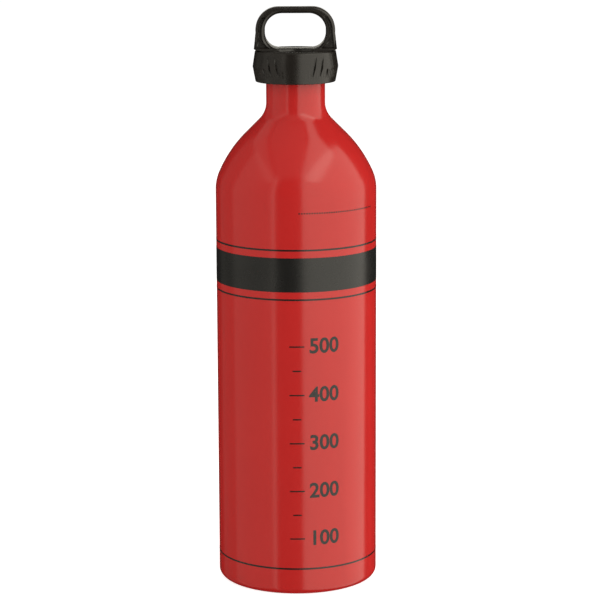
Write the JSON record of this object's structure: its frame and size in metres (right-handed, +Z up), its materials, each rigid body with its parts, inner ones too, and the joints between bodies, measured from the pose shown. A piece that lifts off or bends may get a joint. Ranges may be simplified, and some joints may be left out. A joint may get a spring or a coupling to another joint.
{
  "type": "camping fuel bottle",
  "caption": "Tall red aluminium fuel bottle with a domed base, round shoulder, narrow neck and a black push-and-turn screw cap with a carrying loop.",
  "frame": {"origin": "on the ground, at the centre of the ring that the bottle stands on", "axes": "+Z up along the bottle's axis, out of the neck; +X to the right along the loop's width, seen from the front; the front faces -Y"},
  "size_m": [0.0762, 0.0762, 0.2753],
  "materials": {
    "coated_aluminium": "gloss",
    "seal_rubber": "matte",
    "plug_plastic": "satin",
    "spring_steel": "satin",
    "cap_plastic": "satin"
  },
  "bodies": {
    "bottle": {"bottle": "coated_aluminium"},
    "seal": {"o_ring": "seal_rubber"},
    "plug": {"thread_plug": "plug_plastic"},
    "spring": {"spring": "spring_steel"},
    "shell": {"cap_shell": "cap_plastic"}
  },
  "joints": [
    {"name": "cap_lift", "type": "slide", "parent": "bottle", "child": "seal", "axis": [0, 0, 1], "range_m": [0, 0.01428]},
    {"name": "cap_turn", "type": "hinge", "parent": "seal", "child": "plug", "pos_m": [0, 0, 0.247], "axis": [0, 0, 1], "range_deg": [0, 1620]},
    {"name": "ratchet_spin", "type": "hinge", "parent": "plug", "child": "spring", "pos_m": [0, 0, 0.249], "axis": [0, 0, 1], "continuous": true},
    {"name": "push_down", "type": "slide", "parent": "spring", "child": "shell", "axis": [0, 0, 1], "range_m": [-0.0016, 0], "stiffness_N_per_m": 2500, "deforming": ["spring"]}
  ],
  "couplings": [
    {"joint": "cap_turn", "follows": "cap_lift", "rad_per_m": 1979}
  ]
}
